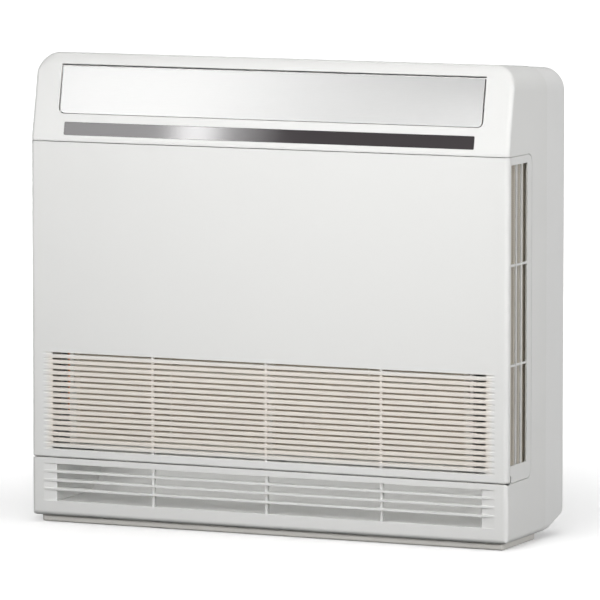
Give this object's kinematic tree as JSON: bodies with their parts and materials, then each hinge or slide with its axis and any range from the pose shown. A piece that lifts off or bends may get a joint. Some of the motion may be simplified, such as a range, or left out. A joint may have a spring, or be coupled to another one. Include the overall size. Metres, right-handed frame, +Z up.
{
  "type": "floor console air conditioner",
  "caption": "Slim white floor console air conditioner with a leaning top outlet blade, a slotted intake panel, side grilles and a low outlet.",
  "frame": {"origin": "on the floor, at the middle of the box round the case", "axes": "+X to the right seen from the front, +Y to the wall behind, so the front faces -Y, +Z up"},
  "size_m": [0.7, 0.2, 0.6413],
  "materials": {
    "case_white": "fine-grained satin",
    "rear_white": "fine-grained matt",
    "plinth_white": "matt",
    "inner_white": "matt",
    "vane_white": "matt",
    "satin_silver": "satin silver paint",
    "dark_window": "smoked and glossy",
    "duct_grey": "matt",
    "fan_grey": "matt",
    "motor_black": "matt",
    "terminal_black": "matt",
    "soft_grey": "soft matt",
    "foam": "cellular matt",
    "filter_frame": "matt",
    "filter_mesh": "woven",
    "green_board": "lacquered",
    "steel": "zinc-plated",
    "galvanised": "galvanised",
    "fin_aluminium": "bright rolled",
    "copper": "drawn copper",
    "brass_union": "turned"
  },
  "bodies": {
    "cabinet": {"front_case": "case_white", "rear_cabinet": "rear_white", "base_plinth": "plinth_white", "side_grille_right": "case_white", "side_grille_left": "case_white", "display_window": "dark_window", "display_board": "green_board", "upper_duct": "duct_grey", "lower_duct": "duct_grey", "bell_mouth": "inner_white", "air_plate": "inner_white", "fan_casing": "inner_white", "scroll_wall_left": "inner_white", "scroll_wall_right": "inner_white", "side_filter_left": "filter_mesh", "side_filter_right": "filter_mesh", "fan_motor": "motor_black", "motor_bracket": "galvanised", "motor_screws": "steel", "case_screws": "steel", "coil_screws": "steel", "coil_fins": "fin_aluminium", "coil_end_plates": "galvanised", "coil_bends": "copper", "gas_pipe": "copper", "liquid_pipe": "copper", "flare_unions": "brass_union", "drain_pan": "inner_white", "drain_spout": "soft_grey", "filter_rails": "inner_white", "control_box": "galvanised", "control_cover": "galvanised", "cover_screws": "steel", "control_board": "green_board", "terminal_bracket": "galvanised", "terminal_block": "terminal_black", "blade_motor": "motor_black", "damper_motor": "motor_black", "room_sensor": "terminal_black", "duct_foam": "foam"},
    "front_panel": {"front_panel": "case_white"},
    "upper_blade": {"upper_blade": "satin_silver"},
    "lower_damper": {"lower_damper": "duct_grey"},
    "turbo_fan": {"turbo_fan": "fan_grey", "motor_shaft": "steel", "fan_nut": "steel"},
    "filter_left": {"filter_frame_left": "filter_frame", "filter_mesh_left": "filter_mesh"},
    "filter_right": {"filter_frame_right": "filter_frame", "filter_mesh_right": "filter_mesh"},
    "vane_1": {"air_vane_1": "vane_white"},
    "vane_2": {"air_vane_2": "vane_white"},
    "vane_3": {"air_vane_3": "vane_white"},
    "vane_4": {"air_vane_4": "vane_white"},
    "vane_5": {"air_vane_5": "vane_white"},
    "vane_6": {"air_vane_6": "vane_white"},
    "link_left": {"vane_link_left": "vane_white"},
    "link_right": {"vane_link_right": "vane_white"}
  },
  "joints": [
    {"name": "panel_tilt", "type": "hinge", "parent": "cabinet", "child": "front_panel", "pos_m": [0, -0.0935, 0.096], "axis": [1, 0, 0], "range_deg": [0, 60]},
    {"name": "blade_tilt", "type": "hinge", "parent": "cabinet", "child": "upper_blade", "pos_m": [0, -0.07295, 0.58484], "axis": [1, 0, 0], "range_deg": [0, 60]},
    {"name": "damper_turn", "type": "hinge", "parent": "cabinet", "child": "lower_damper", "pos_m": [0, 0.011, 0.082], "axis": [1, 0, 0], "range_deg": [0, 80]},
    {"name": "fan_spin", "type": "hinge", "parent": "cabinet", "child": "turbo_fan", "pos_m": [0, 0, 0.292], "axis": [0, 1, 0], "continuous": true},
    {"name": "filter_left_lift", "type": "slide", "parent": "cabinet", "child": "filter_left", "axis": [0, 0, 1], "range_m": [0, 0.075]},
    {"name": "filter_right_lift", "type": "slide", "parent": "cabinet", "child": "filter_right", "axis": [0, 0, 1], "range_m": [0, 0.075]},
    {"name": "vane_1_turn", "type": "hinge", "parent": "cabinet", "child": "vane_1", "pos_m": [-0.24, -0.04, 0.59], "axis": [0, 0, 1], "range_deg": [-25, 25]},
    {"name": "vane_2_turn", "type": "hinge", "parent": "cabinet", "child": "vane_2", "pos_m": [-0.148, -0.04, 0.59], "axis": [0, 0, 1], "range_deg": [-25, 25]},
    {"name": "vane_3_turn", "type": "hinge", "parent": "cabinet", "child": "vane_3", "pos_m": [-0.056, -0.04, 0.59], "axis": [0, 0, 1], "range_deg": [-25, 25]},
    {"name": "vane_4_turn", "type": "hinge", "parent": "cabinet", "child": "vane_4", "pos_m": [0.056, -0.04, 0.59], "axis": [0, 0, 1], "range_deg": [-25, 25]},
    {"name": "vane_5_turn", "type": "hinge", "parent": "cabinet", "child": "vane_5", "pos_m": [0.148, -0.04, 0.59], "axis": [0, 0, 1], "range_deg": [-25, 25]},
    {"name": "vane_6_turn", "type": "hinge", "parent": "cabinet", "child": "vane_6", "pos_m": [0.24, -0.04, 0.59], "axis": [0, 0, 1], "range_deg": [-25, 25]},
    {"name": "link_left_turn", "type": "hinge", "parent": "vane_2", "child": "link_left", "pos_m": [-0.148, -0.024, 0.5563], "axis": [0, 0, 1], "range_deg": [-25, 25]},
    {"name": "link_right_turn", "type": "hinge", "parent": "vane_5", "child": "link_right", "pos_m": [0.148, -0.024, 0.5563], "axis": [0, 0, 1], "range_deg": [-25, 25]}
  ],
  "couplings": [
    {"joint": "vane_1_turn", "follows": "vane_2_turn", "ratio": 1},
    {"joint": "vane_3_turn", "follows": "vane_2_turn", "ratio": 1},
    {"joint": "link_left_turn", "follows": "vane_2_turn", "ratio": -1},
    {"joint": "vane_4_turn", "follows": "vane_5_turn", "ratio": 1},
    {"joint": "vane_6_turn", "follows": "vane_5_turn", "ratio": 1},
    {"joint": "link_right_turn", "follows": "vane_5_turn", "ratio": -1}
  ]
}
